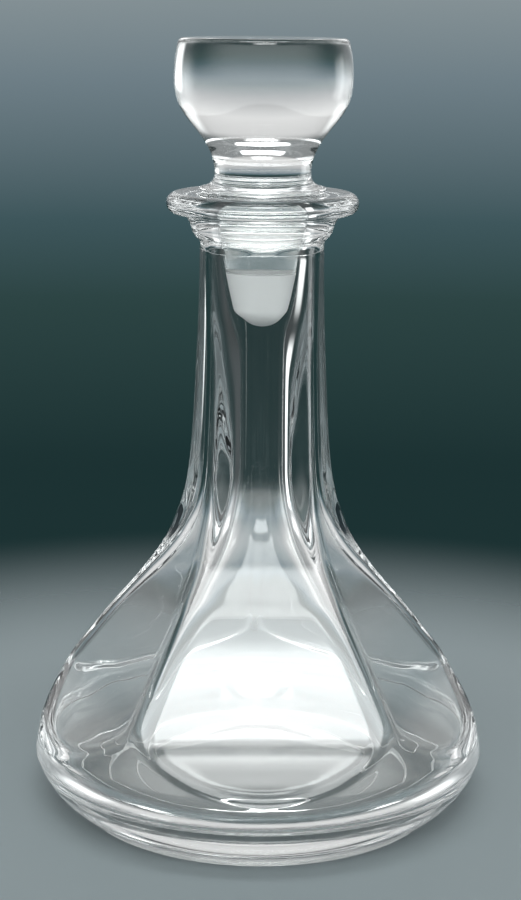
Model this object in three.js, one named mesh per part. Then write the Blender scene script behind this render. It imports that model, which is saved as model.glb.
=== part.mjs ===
// A glass decanter with a broad, low body pressed into five flat panels, a long neck with a
// turned-out lip, and a solid glass stopper with a flat-topped, bowl-shaped head.
// Millimetres, +Z up. The origin is the centre of the foot, on the surface it stands on,
// and one panel faces -Y.

import * as THREE from 'three';

// Driving dimensions
const OVERALL_HEIGHT = 250;        // foot to the flat top of the stopper
const LIP_HEIGHT = 202.2;          // top of the lip
const PANEL_COUNT = 5;
const WIDEST_RADIUS = 74.6;
const WIDEST_HEIGHT = 18.3;
const FOOT_RADIUS = 60.9;
const FOOT_RING_WIDTH = 9.5;
const FLOOR_THICKNESS = 12;
const BORE_RADIUS = 10.8;
const BORE_LENGTH = 82;            // from the lip down to where the bore begins to widen
const MOUTH_RADIUS = 14.7;         // top of the tapered seat in the neck
const SEAT_RADIUS = 12.9;          // the seat again, SEAT_DEPTH below the lip
const SEAT_DEPTH = 18;
const RIM_RADIUS = 3.3;            // half the thickness of the turned-out lip
const LIP_RADIUS = 30.6;
const PLUG_TOP_RADIUS = 14.3;
const PLUG_END_RADIUS = 10.8;
const PLUG_LENGTH = 42.8;          // below the lip
const COLLAR_RADIUS = 20.3;
const COLLAR_GAP = 0.3;            // between the collar and the lip it rests on
const HEAD_RADIUS = 28.1;
const BAND_WALL = 4;               // glass in the round band above the floor

// Steps round the axis. The vessel's are a multiple of twice the panel count, so that each
// panel's centre and each ridge fall on a step.
const VESSEL_STEPS = 50;
const STOPPER_STEPS = 40;

const smoothstep = (value, low, high) => THREE.MathUtils.smoothstep(value, low, high);
const lerp = THREE.MathUtils.lerp;

// The smaller of two radii, with the corner between them eased over a few millimetres.
const BLEND = 1.5;
function softMin(first, second) {
  const mix = THREE.MathUtils.clamp(0.5 + (0.5 * (second - first)) / BLEND, 0, 1);
  return lerp(second, first, mix) - BLEND * mix * (1 - mix);
}

// Radius of a regular polygon with rounded corners. centre is the distance from the axis to the
// middle of a flat, corner is the radius of its corners, and angle is counted from a flat's middle.
const HALF_PANEL = Math.PI / PANEL_COUNT;
function panelRadius(angle, centre, corner) {
  const turns = Math.round(angle / (2 * HALF_PANEL));
  const off = Math.abs(angle - turns * 2 * HALF_PANEL);
  const flatEnd = (centre - corner) * Math.tan(HALF_PANEL);
  if (centre * Math.tan(off) <= flatEnd) return centre / Math.cos(off);
  const reach = (centre - corner) / Math.cos(HALF_PANEL);
  const side = reach * Math.sin(HALF_PANEL - off);
  return reach * Math.cos(HALF_PANEL - off) + Math.sqrt(Math.max(corner * corner - side * side, 0));
}

// The round form that the panels are pressed into. It bulges out from the foot to the widest
// place and draws in again above it, and from the shoulder up the panels alone give the form.
const FOOT_EDGE_HEIGHT = 2;
const SHOULDER_HEIGHT = 80;
const UNDER_BULGE = 1.45;
const DRAW_IN = 0.068;
function roundRadius(height) {
  if (height < WIDEST_HEIGHT) {
    const fall = (WIDEST_HEIGHT - height) / (WIDEST_HEIGHT - FOOT_EDGE_HEIGHT);
    const bulge = (1 - fall ** UNDER_BULGE) ** (1 / UNDER_BULGE);
    return lerp(FOOT_RADIUS, WIDEST_RADIUS, bulge);
  }
  if (height > SHOULDER_HEIGHT) return WIDEST_RADIUS;
  return WIDEST_RADIUS - DRAW_IN * (height - WIDEST_HEIGHT) ** UNDER_BULGE;
}

// A panel's middle line from its flared foot up to the neck, as distance from the axis and height.
const PANEL_LINE = [
  [84, 18], [74, 25], [66, 31], [58.2, 38], [51.6, 48], [44, 60], [34.4, 74], [27.5, 86],
  [23.9, 96], [21.65, 106], [20.3, 120], [19.1, 150], [18.8, 180], [18.95, 184.5], [19.8, 186.8],
  [21.2, 188.2],
];
// The same line on the inside, down to the round corner of the floor.
const CAVITY_LINE = [
  [SEAT_RADIUS, LIP_HEIGHT - SEAT_DEPTH], [11.8, 166], [BORE_RADIUS, 150],
  [BORE_RADIUS, LIP_HEIGHT - BORE_LENGTH], [11.4, 107], [14, 97], [19.5, 87.5], [26.5, 78],
  [32.5, 71], [40.8, 60], [48.6, 48], [55.2, 38], [63, 31], [72, 25],
];

// Corner radius of the panels: nearly sharp on the body, softer on the neck and softer again at
// its top. Where the panels run out under the lip it is the ring's own radius.
const BODY_CORNER = 3;
const NECK_CORNER = 8;
const NECK_TOP_CORNER = 12;
function outerCorner(radius, height) {
  const neck = lerp(NECK_CORNER, NECK_TOP_CORNER, smoothstep(height, 140, 180));
  const corner = lerp(BODY_CORNER, neck, smoothstep(height, 70, 140));
  return lerp(corner, radius, smoothstep(height, 183, 188));
}

const spline = (points, count) =>
  new THREE.SplineCurve(points.map(([r, z]) => new THREE.Vector2(r, z))).getPoints(count);

// Rings of a turned form. Each has a radius and a height, and where it is pressed into panels it
// also has its corner radius and the round form's radius, which the panels never pass.
const plainRings = (points) => points.map((p) => ({ radius: p.x, height: p.y }));

function turn(rings, steps) {
  const profile = rings.map((ring) => new THREE.Vector2(ring.radius, ring.height));
  const geometry = new THREE.LatheGeometry(profile, steps);
  geometry.rotateX(Math.PI / 2);
  const position = geometry.attributes.position;
  for (let index = 0; index < position.count; index += 1) {
    const ring = rings[index % rings.length];
    if (ring.corner === undefined) continue;
    const angle = Math.atan2(position.getX(index), -position.getY(index));
    const radius = softMin(panelRadius(angle, ring.radius, ring.corner), ring.limit);
    position.setXY(index, radius * Math.sin(angle), -radius * Math.cos(angle));
  }
  geometry.deleteAttribute('uv');
  geometry.computeVertexNormals();
  return geometry;
}

// The underside: a shallow dome inside a step, inside the ring that the decanter stands on.
function underside() {
  const ringInner = FOOT_RADIUS - 0.9 - FOOT_RING_WIDTH;
  const path = new THREE.Path();
  path.moveTo(0, 4);
  path.quadraticCurveTo(28, 3.8, 40.8, 2.6);
  path.lineTo(40.8, 2);
  path.lineTo(ringInner - 0.4, 2);
  path.lineTo(ringInner, 0);
  path.lineTo(FOOT_RADIUS - 0.9, 0);
  path.lineTo(FOOT_RADIUS - 0.2, 0.6);
  return plainRings(path.getPoints(3));
}

// The round lower body, from the foot's edge to the widest place.
function lowerBody() {
  const count = 7;
  return Array.from({ length: count }, (_, step) => {
    const angle = (step / count) * (Math.PI / 2);
    const height = lerp(WIDEST_HEIGHT, FOOT_EDGE_HEIGHT, Math.cos(angle));
    return { radius: roundRadius(height), height };
  });
}

// The panels, from the round band up to the top of the neck.
function panelledBody() {
  return spline(PANEL_LINE, 30).map((p) => ({
    radius: p.x,
    height: p.y,
    corner: outerCorner(p.x, p.y),
    limit: roundRadius(p.y),
  }));
}

// The neck runs out round under the lip, and the lip is a full round edge with a flat top.
function lip() {
  const rimCentre = new THREE.Vector2(LIP_RADIUS - RIM_RADIUS, LIP_HEIGHT - RIM_RADIUS);
  const path = new THREE.Path();
  path.moveTo(22.4, 190.2);
  path.lineTo(22.7, 191.4);
  path.quadraticCurveTo(23.8, 195.3, 26.6, 195.7);
  path.absarc(rimCentre.x, rimCentre.y, RIM_RADIUS, -1.3, Math.PI / 2, false);
  path.lineTo(MOUTH_RADIUS + 0.8, LIP_HEIGHT);
  path.lineTo(MOUTH_RADIUS, LIP_HEIGHT - 0.6);
  return plainRings(path.getPoints(3));
}

// The inside: the plug's tapered seat, the bore, and the cavity, whose wall follows the panels.
function inside() {
  const cavity = spline(CAVITY_LINE, 20).map((p) => ({
    radius: p.x,
    height: p.y,
    corner: lerp(2.5 * BODY_CORNER, p.x, smoothstep(p.y, 60, 112)),
    limit: roundRadius(p.y) - BAND_WALL,
  }));
  const floorCorner = 12.5;
  const wall = roundRadius(FLOOR_THICKNESS + floorCorner) - BAND_WALL;
  const path = new THREE.Path();
  path.absarc(wall - floorCorner, FLOOR_THICKNESS + floorCorner, floorCorner, -0.12, -Math.PI / 2, true);
  path.lineTo(0, FLOOR_THICKNESS);
  return [...cavity, ...plainRings(path.getPoints(4))];
}

const glass = (name) =>
  new THREE.MeshStandardMaterial({
    name, color: 0xe4ece8, roughness: 0.03, metalness: 0, transparent: true, opacity: 0.35,
  });

function vesselMesh() {
  const rings = [...underside(), ...lowerBody(), ...panelledBody(), ...lip(), ...inside()];
  const mesh = new THREE.Mesh(turn(rings, VESSEL_STEPS), glass('vessel_glass'));
  mesh.name = 'vessel';
  return mesh;
}

// The stopper is one solid piece. A tapered plug with a round end hangs in the neck, a thin
// collar rests on the lip, and a waist leads to the bowl-shaped head with its flat top.
function stopperMesh() {
  const seat = LIP_HEIGHT + COLLAR_GAP;
  const plugEnd = LIP_HEIGHT - PLUG_LENGTH;
  const endRise = 6.8;
  const path = new THREE.Path();
  path.absellipse(0, plugEnd + endRise, PLUG_END_RADIUS, endRise, -Math.PI / 2, 0, false, 0);
  path.lineTo(PLUG_TOP_RADIUS, LIP_HEIGHT);
  path.lineTo(PLUG_TOP_RADIUS + 0.1, seat);
  path.lineTo(COLLAR_RADIUS - 0.5, seat);
  path.absarc(COLLAR_RADIUS - 0.7, seat + 0.7, 0.7, -1.2, 1.2, false);
  path.bezierCurveTo(17.2, 204.4, 15.4, 205.2, 15.3, 208);
  path.bezierCurveTo(15.3, 213.6, 17.7, 217.4, 21, 221.6);
  path.bezierCurveTo(24.6, 226, HEAD_RADIUS + 0.1, 229.4, HEAD_RADIUS, 237.6);
  path.bezierCurveTo(HEAD_RADIUS, 241, 27.9, 244.6, 26.9, OVERALL_HEIGHT - 1.6);
  path.quadraticCurveTo(26.4, OVERALL_HEIGHT, 25, OVERALL_HEIGHT);
  path.lineTo(0, OVERALL_HEIGHT);
  const mesh = new THREE.Mesh(turn(plainRings(path.getPoints(4)), STOPPER_STEPS), glass('stopper_glass'));
  mesh.name = 'stopper';
  return mesh;
}

const decanter = new THREE.Group();
decanter.add(vesselMesh(), stopperMesh());

export default decanter;
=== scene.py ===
"""A clear glass decanter with a lift-out stopper, on a plain pale floor."""
import math
import bpy
import numpy as np
from mathutils import Matrix, Vector


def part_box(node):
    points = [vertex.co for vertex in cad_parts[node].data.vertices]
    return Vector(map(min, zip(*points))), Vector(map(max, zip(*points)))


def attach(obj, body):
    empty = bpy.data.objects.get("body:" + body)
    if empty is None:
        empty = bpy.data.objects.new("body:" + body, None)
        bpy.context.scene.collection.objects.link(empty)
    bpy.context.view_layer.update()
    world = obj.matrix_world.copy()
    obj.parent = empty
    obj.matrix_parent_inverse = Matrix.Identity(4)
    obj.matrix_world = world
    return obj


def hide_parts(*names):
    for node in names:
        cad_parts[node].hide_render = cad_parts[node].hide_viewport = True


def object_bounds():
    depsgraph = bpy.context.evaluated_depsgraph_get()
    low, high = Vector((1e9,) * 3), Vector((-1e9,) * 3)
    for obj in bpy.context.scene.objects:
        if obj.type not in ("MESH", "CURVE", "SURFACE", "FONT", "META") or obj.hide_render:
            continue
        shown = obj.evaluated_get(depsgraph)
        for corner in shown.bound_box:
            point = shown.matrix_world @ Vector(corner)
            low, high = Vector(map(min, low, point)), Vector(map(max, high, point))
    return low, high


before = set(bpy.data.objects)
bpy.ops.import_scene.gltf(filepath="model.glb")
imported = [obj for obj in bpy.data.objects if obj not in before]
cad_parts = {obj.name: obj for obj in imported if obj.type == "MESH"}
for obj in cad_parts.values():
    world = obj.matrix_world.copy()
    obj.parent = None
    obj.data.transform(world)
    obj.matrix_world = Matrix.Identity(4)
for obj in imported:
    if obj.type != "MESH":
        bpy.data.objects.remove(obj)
cad_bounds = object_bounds()

# The camera. It stands 0.62 m from the neck's axis, just above the stopper's top, looks down by
# 13 degrees and leans half a degree, as the photograph's outline gives. One panel faces it,
# turned by 1.5 degrees.
CAMERA_DISTANCE = 0.620
CAMERA_HEIGHT = 0.2619
CAMERA_PITCH = math.radians(13.03)
CAMERA_LEAN = math.radians(0.5)
CAMERA_AZIMUTH = math.radians(-1.5)
FOCAL_PIXELS = 1952
PHOTO_HEIGHT_PIXELS = 900

camera_data = bpy.data.cameras.new("camera")
camera_data.lens = camera_data.sensor_width * FOCAL_PIXELS / PHOTO_HEIGHT_PIXELS
camera = bpy.data.objects.new("camera", camera_data)
camera.matrix_world = (
    Matrix.Rotation(CAMERA_AZIMUTH, 4, "Z")
    @ Matrix.Translation((0, -CAMERA_DISTANCE, CAMERA_HEIGHT))
    @ Matrix.Rotation(math.pi / 2 - CAMERA_PITCH, 4, "X")
    @ Matrix.Rotation(CAMERA_LEAN, 4, "Z")
)
bpy.context.scene.collection.objects.link(camera)
bpy.context.scene.camera = camera


# The vessel. It is one piece of clear glass, blown and pressed in a mould: a foot ring, a thick
# floor, a round band, a body with five flat panels that flare out into the band, and a long neck
# that keeps the panels with softer ridges, up to a lip turned out and melted round.
MM = 0.001
lip_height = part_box("vessel")[1].z
widest_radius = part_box("vessel")[1].x
WIDEST_HEIGHT = 18.3 * MM
FOOT_RADIUS = 60.9 * MM
FOOT_EDGE_HEIGHT = 2 * MM
FOOT_RING_WIDTH = 9.5 * MM
FLOOR_THICKNESS = 12 * MM
FLOOR_CORNER = 12.5 * MM
BAND_WALL = 4 * MM
SHOULDER_HEIGHT = 80 * MM
UNDER_BULGE = 1.45
DRAW_IN = 0.068
PANELS = 5
BODY_CORNER = 3 * MM
NECK_CORNER = 8 * MM
NECK_TOP_CORNER = 12 * MM
CAVITY_CORNER = 2.5 * BODY_CORNER
PANEL_EASE = 1.5 * MM          # how far a panel's edge is eased into the round form
RIM_RADIUS = 3.3               # in millimetres, as the profile's points are
RIM_CENTRE_RADIUS = 27.3
VESSEL_STEPS = 240             # steps round the axis, gathered towards the five ridges
RIDGE_GATHER = 0.72
# Distance from the axis and height, in millimetres, of a panel's middle line and of the same
# line inside the glass.
PANEL_LINE = [
    (84, 18), (74, 25), (66, 31), (58.2, 38), (51.6, 48), (44, 60), (34.4, 74), (27.5, 86),
    (23.9, 96), (21.65, 106), (20.3, 120), (19.1, 150), (18.8, 180), (18.95, 184.5),
    (19.8, 186.8), (21.2, 188.2),
]
CAVITY_LINE = [
    (12.9, 184.2), (11.8, 166), (10.8, 150), (10.8, 120.2), (11.4, 107), (14, 97), (19.5, 87.5),
    (26.5, 78), (32.5, 71), (40.8, 60), (48.6, 48), (55.2, 38), (63, 31), (72, 25),
]


def smooth_step(value, low, high):
    """0 below low, 1 above high, and an even swing between them."""
    part = np.clip((value - low) / (high - low), 0, 1)
    return part * part * (3 - 2 * part)


def curve_through(points, count):
    """count points, in metres, on the smooth curve through points given in millimetres."""
    line = np.array([points[0], *points, points[-1]], float) * MM
    place = np.linspace(0, len(points) - 1, count)
    start = np.minimum(place.astype(int), len(points) - 2)
    step = (place - start)[:, None]
    before, near, far, after = (line[start + k] for k in range(4))
    return near + 0.5 * step * (
        far - before
        + step * (2 * before - 5 * near + 4 * far - after
                  + step * (3 * (near - far) + after - before))
    )


def arc(centre, radii, start, end, count):
    """count points on an arc about centre, both in millimetres, from one angle to another."""
    turn = np.linspace(start, end, count)
    points = np.stack([np.cos(turn) * radii[0], np.sin(turn) * radii[1]], 1)
    return (points + centre) * MM


def round_radius(height):
    """The round form that the panels are pressed into."""
    fall = np.clip((WIDEST_HEIGHT - height) / (WIDEST_HEIGHT - FOOT_EDGE_HEIGHT), 0, 1)
    bulge = (1 - fall**UNDER_BULGE) ** (1 / UNDER_BULGE)
    below = FOOT_RADIUS + (widest_radius - FOOT_RADIUS) * bulge
    rise = np.clip((height - WIDEST_HEIGHT) / MM, 0, None)
    above = widest_radius - DRAW_IN * rise**UNDER_BULGE * MM
    limit = np.where(height < WIDEST_HEIGHT, below, above)
    return np.where(height > SHOULDER_HEIGHT, widest_radius, limit)


def plain_rings(points):
    """Rings of a turned form: radius, height, corner, limit, and 0 for not pressed."""
    points = np.asarray(points)
    zero = np.zeros(len(points))
    return np.stack([points[:, 0], points[:, 1], zero, zero, zero], 1)


def pressed_rings(points, corner, limit):
    """Rings pressed into panels, with their corner radius and the round form's radius."""
    return np.stack([points[:, 0], points[:, 1], corner, limit, np.ones(len(points))], 1)


def vessel_rings():
    """The vessel's rings, from the middle of its underside round the lip to its inner floor."""
    ring_out = FOOT_RADIUS / MM - 0.9
    ring_in = ring_out - FOOT_RING_WIDTH / MM
    dome = curve_through([(0, 4), (14, 3.85), (28, 3.35), (40.4, 2.6)], 22)
    dome_edge = arc((40.4, 2.2), (0.4, 0.4), math.pi / 2, 0, 5)
    step_foot = arc((41.2, 2.4), (0.4, 0.4), math.pi, 1.5 * math.pi, 5)
    step_edge = arc((ring_in - 0.8, 1.6), (0.4, 0.4), math.pi / 2, 0, 5)
    ring_inner = arc((ring_in + 0.1, 0.5), (0.5, 0.5), math.pi, 1.5 * math.pi, 5)
    ring_outer = arc((ring_out, 0.6), (0.6, 0.6), -math.pi / 2, -0.15, 7)
    under = np.concatenate([dome, dome_edge, step_foot, step_edge, ring_inner, ring_outer])
    swing = np.linspace(0.03, 1, 26) * math.pi / 2
    low_height = WIDEST_HEIGHT - (WIDEST_HEIGHT - FOOT_EDGE_HEIGHT) * np.cos(swing)
    low = np.stack([round_radius(low_height), low_height], 1)

    panel = curve_through(PANEL_LINE, 124)
    neck = smooth_step(panel[:, 1], 0.140, 0.180) * (NECK_TOP_CORNER - NECK_CORNER) + NECK_CORNER
    corner = BODY_CORNER + (neck - BODY_CORNER) * smooth_step(panel[:, 1], 0.070, 0.140)
    corner = corner + (panel[:, 0] - corner) * smooth_step(panel[:, 1], 0.183, 0.188)

    top = lip_height / MM
    low_arc = -1.3
    neck_top = curve_through([(21.2, 188.2), (22.3, 189.8), (22.7, 191.4), (23.9, 194),
                              (25.4, 195.3),
                              (RIM_CENTRE_RADIUS + RIM_RADIUS * math.cos(low_arc), 195.72)],
                             22)[1:]
    lip = arc((RIM_CENTRE_RADIUS, top - RIM_RADIUS), (RIM_RADIUS, RIM_RADIUS), low_arc + 0.1,
              math.pi / 2, 26)
    mouth = curve_through([(27.2, top), (22, top - 0.1), (15.6, top), (14.9, top - 0.2),
                           (14.7, top - 0.7), (14.15, top - 6)], 24)[1:]

    cavity = curve_through(CAVITY_LINE, 90)
    soft = smooth_step(cavity[:, 1], 0.060, 0.112)
    cavity_corner = CAVITY_CORNER * (1 - soft) + cavity[:, 0] * soft
    wall = round_radius(FLOOR_THICKNESS + FLOOR_CORNER) - BAND_WALL
    centre = np.array([wall - FLOOR_CORNER, FLOOR_THICKNESS + FLOOR_CORNER]) / MM
    bowl = arc(centre, (FLOOR_CORNER / MM, FLOOR_CORNER / MM), -0.12, -math.pi / 2, 24)
    flat = np.stack([np.linspace(bowl[-1, 0], 0, 12)[1:], np.full(11, FLOOR_THICKNESS)], 1)
    return np.concatenate([
        plain_rings(under), plain_rings(low),
        pressed_rings(panel, corner, round_radius(panel[:, 1])),
        plain_rings(neck_top), plain_rings(lip), plain_rings(mouth),
        pressed_rings(cavity, cavity_corner, round_radius(cavity[:, 1]) - BAND_WALL),
        plain_rings(bowl), plain_rings(flat),
    ])


class Wire:
    """A node's output. The signs + - * / and the methods here add Math nodes to it."""

    def __init__(self, tree, socket):
        self.tree, self.socket = tree, socket

    def math(self, operation, *others):
        return add_node(self.tree, "ShaderNodeMath", {"operation": operation}, [self, *others])[0]

    def under(self, other, operation):
        """The same with the plain number first."""
        return add_node(self.tree, "ShaderNodeMath", {"operation": operation}, [other, self])[0]

    def __add__(self, other):
        return self.math("ADD", other)

    __radd__ = __add__

    def __sub__(self, other):
        return self.math("SUBTRACT", other)

    def __rsub__(self, other):
        return self.under(other, "SUBTRACT")

    def __mul__(self, other):
        return self.math("MULTIPLY", other)

    __rmul__ = __mul__

    def __truediv__(self, other):
        return self.math("DIVIDE", other)

    def __rtruediv__(self, other):
        return self.under(other, "DIVIDE")


def add_node(tree, kind, settings=None, inputs=()):
    """Adds a node: its settings first, then its sockets' values or links. Gives its outputs."""
    node = tree.nodes.new(kind)
    for name, value in (settings or {}).items():
        if name == "stops":
            for stop in list(node.color_ramp.elements)[1:]:
                node.color_ramp.elements.remove(stop)
            node.color_ramp.elements[0].position = value[0][0]
            node.color_ramp.elements[0].color = value[0][1]
            for position, colour in value[1:]:
                node.color_ramp.elements.new(position).color = colour
        else:
            setattr(node, name, value)
    named = inputs.items() if isinstance(inputs, dict) else enumerate(inputs)
    for place, value in named:
        if isinstance(value, Wire):
            tree.links.new(value.socket, node.inputs[place])
        elif value is not None:
            node.inputs[place].default_value = value
    return [Wire(tree, socket) for socket in node.outputs]


def turning_tree():
    """Turns a profile round the axis, and presses the rings that ask for it into flat panels."""
    tree = bpy.data.node_groups.new("turned_glass", "GeometryNodeTree")
    face = tree.interface
    face.new_socket("Profile", in_out="INPUT", socket_type="NodeSocketGeometry")
    for name, kind in (("Steps", "Int"), ("Panels", "Int"), ("Gather", "Float"),
                       ("Ease", "Float"), ("Glass", "Material")):
        face.new_socket(name, in_out="INPUT", socket_type="NodeSocket" + kind)
    face.new_socket("Turned", in_out="OUTPUT", socket_type="NodeSocketGeometry")
    profile, steps, panels, gather, ease, glass = add_node(tree, "NodeGroupInput")[:6]

    def kept(name):
        return add_node(tree, "GeometryNodeInputNamedAttribute", {"data_type": "FLOAT"}, [name])[0]

    def keep(geometry, name, value):
        return add_node(tree, "GeometryNodeStoreNamedAttribute", {"data_type": "FLOAT"},
                        {"Geometry": geometry, "Name": name, "Value": value})[0]

    outline = add_node(tree, "GeometryNodeMeshToCurve", None, [profile])[0]
    circle = add_node(tree, "GeometryNodeCurvePrimitiveCircle", None, [steps])[0]
    part = add_node(tree, "GeometryNodeInputIndex")[0] / steps
    even = part * (2 * math.pi)
    circle = keep(circle, "angle", even + gather * (even * panels).math("SINE") / panels)
    swept = add_node(tree, "GeometryNodeCurveToMesh", None,
                     {"Curve": circle, "Profile Curve": outline})[0]

    angle, radius, height = kept("angle"), kept("ring_radius"), kept("ring_height")
    corner, limit, pressed = kept("ring_corner"), kept("ring_limit"), kept("ring_pressed")
    half = math.pi / panels
    off = ((angle + half).math("FLOORED_MODULO", 2 * half) - half).math("ABSOLUTE")
    flat = radius / off.math("COSINE")
    reach = (radius - corner) / half.math("COSINE")
    side = reach * (half - off).math("SINE")
    depth = (corner * corner - side * side).math("MAXIMUM", 0).math("SQRT")
    rounded = reach * (half - off).math("COSINE") + depth
    past_flat = (radius * off.math("TANGENT")).math(
        "GREATER_THAN", (radius - corner) * half.math("TANGENT"))
    panel = flat + (rounded - flat) * past_flat
    mix = (0.5 + 0.5 * (limit - panel) / ease).math("MINIMUM", 1).math("MAXIMUM", 0)
    eased = limit + (panel - limit) * mix - ease * mix * (1 - mix)
    out = radius + (eased - radius) * pressed
    place = add_node(tree, "ShaderNodeCombineXYZ", None,
                     [out * angle.math("SINE"), out * angle.math("COSINE") * -1, height])[0]
    shaped = add_node(tree, "GeometryNodeSetPosition", None,
                      {"Geometry": swept, "Position": place})[0]
    welded = add_node(tree, "GeometryNodeMergeByDistance", None,
                      {"Geometry": shaped, "Distance": 0.004 * MM})[0]
    outward = add_node(tree, "GeometryNodeFlipFaces", None, [welded])[0]
    real = add_node(tree, "GeometryNodeRealizeInstances", None, [outward])[0]
    done = add_node(tree, "GeometryNodeSetMaterial", None, {"Geometry": real, "Material": glass})[0]
    add_node(tree, "NodeGroupOutput", None, [done])
    return tree


turned_glass = turning_tree()


def turn_glass(name, rings, material, steps, gather):
    """A closed mesh object of glass, turned from its rings."""
    profile = bpy.data.meshes.new(name + "_profile")
    profile.from_pydata([(r, 0, z) for r, z in rings[:, :2]],
                        [(k, k + 1) for k in range(len(rings) - 1)], [])
    columns = ("ring_radius", "ring_height", "ring_corner", "ring_limit", "ring_pressed")
    for column, attribute in enumerate(columns):
        layer = profile.attributes.new(attribute, "FLOAT", "POINT")
        layer.data.foreach_set("value", rings[:, column].astype(np.float32))
    piece = bpy.data.objects.new(name, profile)
    bpy.context.scene.collection.objects.link(piece)
    turning = piece.modifiers.new("turning", "NODES")
    turning.node_group = turned_glass
    sockets = {item.name: item.identifier for item in turned_glass.interface.items_tree
               if item.in_out == "INPUT"}
    for label, value in (("Steps", steps), ("Panels", PANELS), ("Gather", gather),
                         ("Ease", PANEL_EASE), ("Glass", material)):
        turning[sockets[label]] = value
    depsgraph = bpy.context.evaluated_depsgraph_get()
    mesh = bpy.data.meshes.new_from_object(piece.evaluated_get(depsgraph))
    mesh.name = name
    piece.modifiers.clear()
    piece.data = mesh
    for attribute in (*columns, "angle"):
        if attribute in mesh.attributes:
            mesh.attributes.remove(mesh.attributes[attribute])
    mesh.shade_smooth()
    return piece


GLASS_IOR = 1.52
GROUND_ROUGHNESS = 0.3


def clear_glass(name, tint, ground_height=None):
    """Fire-polished clear glass with the mould's faint waves and a breath of haze. Below
    ground_height it has been ground to a white, matt seat."""
    material = bpy.data.materials.new(name)
    material.use_nodes = True
    tree = material.node_tree
    tree.nodes.clear()
    where = add_node(tree, "ShaderNodeTexCoord")[3]
    wave = add_node(tree, "ShaderNodeTexNoise", None,
                    {"Vector": where, "Scale": 38.0, "Detail": 1.0})[0]
    bump = add_node(tree, "ShaderNodeBump", None,
                    {"Strength": 0.08, "Distance": 0.0004, "Height": wave})[0]
    haze = add_node(tree, "ShaderNodeTexNoise", None,
                    {"Vector": where, "Scale": 120.0, "Detail": 3.0})[0]
    rough = (haze - 0.55).math("MAXIMUM", 0) * 0.12
    if ground_height:
        height = add_node(tree, "ShaderNodeSeparateXYZ", None, [where])[2]
        ground = add_node(tree, "ShaderNodeMapRange", {"interpolation_type": "SMOOTHSTEP"},
                          [height, ground_height, ground_height + MM, 1.0, 0.0])[0]
        rough = rough + ground * GROUND_ROUGHNESS
    surface = add_node(tree, "ShaderNodeBsdfPrincipled", None, {
        "Base Color": (*tint, 1), "Roughness": rough, "IOR": GLASS_IOR,
        "Transmission Weight": 1.0, "Normal": bump})[0]
    if ground_height:
        white = add_node(tree, "ShaderNodeBsdfPrincipled", None, {
            "Base Color": (0.92, 0.93, 0.93, 1), "Roughness": 0.6})[0]
        surface = add_node(tree, "ShaderNodeMixShader", None, [ground, surface, white])[0]
    add_node(tree, "ShaderNodeOutputMaterial", None, [surface])
    return material


vessel_glass = clear_glass("vessel_glass", (0.975, 0.99, 0.985))
vessel = turn_glass("vessel_clear_glass", vessel_rings(), vessel_glass, VESSEL_STEPS, RIDGE_GATHER)
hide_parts("vessel")
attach(vessel, "vessel")


# The stopper. It is one solid piece of clear glass: a tapered plug with a round end ground white,
# a thin collar that rests on the lip, a waist, and a bowl-shaped head with a flat, polished top.
stopper_low, stopper_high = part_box("stopper")
STOPPER_STEPS = 192
GROUND_HEIGHT = 177 * MM       # the plug is ground white below this height
# These are in millimetres, as the profile's points are.
COLLAR_GAP = 0.3
PLUG_END_RADIUS = 10.8
PLUG_END_RISE = 6.8
PLUG_TOP_RADIUS = 14.3
TOP_FLAT_RADIUS = 25


def bend(start, first, second, end, count=24):
    """Points on a curve from start to end, pulled towards two others, in millimetres."""
    t = np.linspace(0, 1, count)[:, None]
    start, first, second, end = (np.array(p, float) for p in (start, first, second, end))
    line = ((1 - t) ** 3 * start + 3 * t * (1 - t) ** 2 * first
            + 3 * t**2 * (1 - t) * second + t**3 * end)
    return line * MM


def stopper_rings():
    """The stopper's rings, from the plug's end to the middle of the head's top."""
    end = stopper_low.z / MM
    top = stopper_high.z / MM
    head = stopper_high.x / MM
    seat = lip_height / MM + COLLAR_GAP
    plug_end = arc((0, end + PLUG_END_RISE), (PLUG_END_RADIUS, PLUG_END_RISE), -math.pi / 2, 0, 26)
    plug = curve_through([(PLUG_END_RADIUS, end + PLUG_END_RISE),
                          (PLUG_TOP_RADIUS, lip_height / MM), (14.4, seat - 0.1),
                          (14.8, seat), (19.6, seat)], 60)[1:]
    collar = arc((19.6, seat + 0.7), (0.7, 0.7), -math.pi / 2 + 0.2, 1.2, 14)
    waist = bend((collar[-1, 0] / MM, collar[-1, 1] / MM), (17.2, 204.4), (15.4, 205.2),
                 (15.3, 208))[1:]
    stem = bend((15.3, 208), (15.3, 213.6), (17.7, 217.4), (21, 221.6))[1:]
    bowl = bend((21, 221.6), (24.6, 226), (head, 229.4), (head, 237.6), 30)[1:]
    side = bend((head, 237.6), (head, 241), (27.9, 244.6), (26.9, top - 1.6))[1:]
    edge = bend((26.9, top - 1.6), (26.6, top - 0.7), (26.1, top), (TOP_FLAT_RADIUS, top), 16)[1:]
    flat = np.stack([np.linspace(TOP_FLAT_RADIUS, 0, 10)[1:], np.full(9, top)], 1) * MM
    return plain_rings(np.concatenate([
        plug_end, plug, collar, waist, stem, bowl, side, edge, flat,
    ]))


stopper_glass = clear_glass("stopper_glass", (0.98, 0.99, 0.985), GROUND_HEIGHT)
stopper = turn_glass("stopper_clear_glass", stopper_rings(), stopper_glass, STOPPER_STEPS, 0.0)
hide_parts("stopper")
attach(stopper, "stopper")


# The floor. It is a plain pale sheet, whose far part goes over softly into the dark backdrop. The
# two distances from the decanter's axis, in metres, say where that begins and ends.
FLOOR_FADE = (0.155, 0.34)
FLOOR_SIZE = 0.45
FLOOR_DROP = 0.2 * MM          # the floor lies this far below the foot


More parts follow.
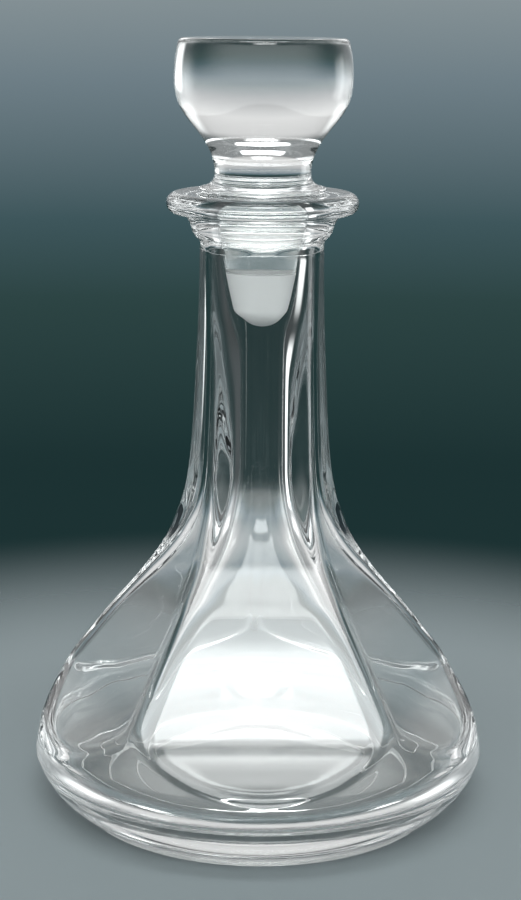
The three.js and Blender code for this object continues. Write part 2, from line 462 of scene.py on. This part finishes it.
def pale_floor():
    material = bpy.data.materials.new("pale_floor")
    material.use_nodes = True
    tree = material.node_tree
    tree.nodes.clear()
    where = add_node(tree, "ShaderNodeTexCoord")[3]
    reach = add_node(tree, "ShaderNodeVectorMath", {"operation": "LENGTH"}, [where])[1]
    cover = add_node(tree, "ShaderNodeMapRange", {"interpolation_type": "SMOOTHSTEP"},
                     [reach, *FLOOR_FADE, 1.0, 0.0])[0]
    surface = add_node(tree, "ShaderNodeBsdfPrincipled", None, {
        "Base Color": (0.20, 0.235, 0.245, 1), "Roughness": 0.75, "Specular IOR Level": 0.2,
        "Alpha": cover})[0]
    add_node(tree, "ShaderNodeOutputMaterial", None, [surface])
    return material


floor_mesh = bpy.data.meshes.new("floor")
floor_rim = [(FLOOR_SIZE * math.cos(a), FLOOR_SIZE * math.sin(a), 0)
             for a in np.linspace(0, 2 * math.pi, 65)[:-1]]
floor_mesh.from_pydata(floor_rim, [], [tuple(range(64))])
floor_mesh.materials.append(pale_floor())
floor = bpy.data.objects.new("floor", floor_mesh)
floor.location.z = cad_bounds[0].z - FLOOR_DROP
bpy.context.scene.collection.objects.link(floor)


# Light. A studio room with no hard edge in it: a broad soft front at the decanter's own level, and
# soft boxes round it. The walls are dim, and behind the decanter the backdrop goes from a dark
# foot to a pale middle.
FRONT_RADIANCE = 2.1
# Each box's azimuth, elevation, half width, half height and soft edge, in degrees, and radiance.
SOFT_BOXES = [
    (0, 45, 12, 11, 4, 9.5),       # a window, high over the front panel
    (0, 75, 20, 7, 3, 6.5),        # a strip overhead
    (-122, 24, 11, 9, 6, 1.0),     # behind on the left, high and low
    (-122, 2, 14, 8, 8, 0.35),
    (122, 24, 11, 9, 6, 1.0),      # behind on the right, high and low
    (122, 2, 14, 8, 8, 0.35),
    (112, -6, 10, 12, 4, 1.7),     # low at the right, for the streak down the neck
]

room = bpy.data.worlds.new("grey_room")
bpy.context.scene.world = room
room.use_nodes = True
room.node_tree.nodes.clear()
toward = add_node(room.node_tree, "ShaderNodeTexCoord")[0]


def swing(value, low, high, start=0.0, end=1.0):
    """An even swing from start to end while value goes from low to high."""
    return add_node(room.node_tree, "ShaderNodeMapRange", {"interpolation_type": "SMOOTHSTEP"},
                    [value, low, high, start, end])[0]


def soft_box(azimuth, elevation, half_width, half_height, edge, radiance):
    """A soft-edged glowing patch of the room, in degrees. Azimuth 0 is the front, 90 is +X."""
    turn, rise = math.radians(azimuth), math.radians(elevation)
    ahead = Vector((math.sin(turn) * math.cos(rise), -math.cos(turn) * math.cos(rise),
                    math.sin(rise)))
    right = Vector((math.cos(turn), math.sin(turn), 0))

    def along(axis):
        return add_node(room.node_tree, "ShaderNodeVectorMath", {"operation": "DOT_PRODUCT"},
                        [toward, axis])[1]

    def inside(axis, half):
        angle = along(axis).math("ARCTAN2", along(ahead)).math("ABSOLUTE")
        return swing(angle, math.radians(half - edge), math.radians(half + edge), 1.0, 0.0)

    return inside(right, half_width) * inside(ahead.cross(right), half_height) * radiance


_, depth, rise = add_node(room.node_tree, "ShaderNodeSeparateXYZ", None, [toward])
front = swing(depth * -1, -0.1, 0.8) * swing(rise, -0.10, 0.06) * swing(rise, 0.42, 0.62, 1.0, 0.0)
glow = front * FRONT_RADIANCE
for box in SOFT_BOXES:
    glow = glow + soft_box(*box)
level = add_node(room.node_tree, "ShaderNodeMapRange", None, [rise, -1.0, 1.0, 0.0, 1.0])[0]
backdrop = add_node(room.node_tree, "ShaderNodeValToRGB", {"stops": [
    (0.385, (0.012, 0.032, 0.033, 1)), (0.425, (0.026, 0.058, 0.057, 1)),
    (0.445, (0.048, 0.093, 0.105, 1)), (0.48, (0.156, 0.21, 0.24, 1)),
    (0.50, (0.23, 0.28, 0.30, 1)), (0.57, (0.50, 0.51, 0.52, 1)), (0.65, (0.80, 0.80, 0.80, 1)),
    (0.75, (0.70, 0.70, 0.70, 1)), (0.85, (0.28, 0.28, 0.28, 1))]}, [level])[0]
walls = add_node(room.node_tree, "ShaderNodeValToRGB", {"stops": [
    (0.30, (0.045, 0.052, 0.053, 1)), (0.42, (0.095, 0.11, 0.115, 1)),
    (0.50, (0.21, 0.23, 0.24, 1)), (0.65, (0.38, 0.40, 0.41, 1)),
    (0.80, (0.27, 0.285, 0.29, 1))]}, [level])[0]
tone = add_node(room.node_tree, "ShaderNodeMix", {"data_type": "RGBA"},
                {0: swing(depth, 0.30, 0.75), 6: walls, 7: backdrop})[2]
plain = add_node(room.node_tree, "ShaderNodeBackground", None, [tone])[0]
bright = add_node(room.node_tree, "ShaderNodeBackground", None, [(0.98, 1.0, 1.0, 1), glow])[0]
both = add_node(room.node_tree, "ShaderNodeAddShader", None, [plain, bright])[0]
add_node(room.node_tree, "ShaderNodeOutputWorld", None, [both])

scene = bpy.context.scene
scene.view_settings.view_transform = "Standard"
scene.cycles.max_bounces = 24
scene.cycles.transmission_bounces = 24
scene.cycles.glossy_bounces = 12
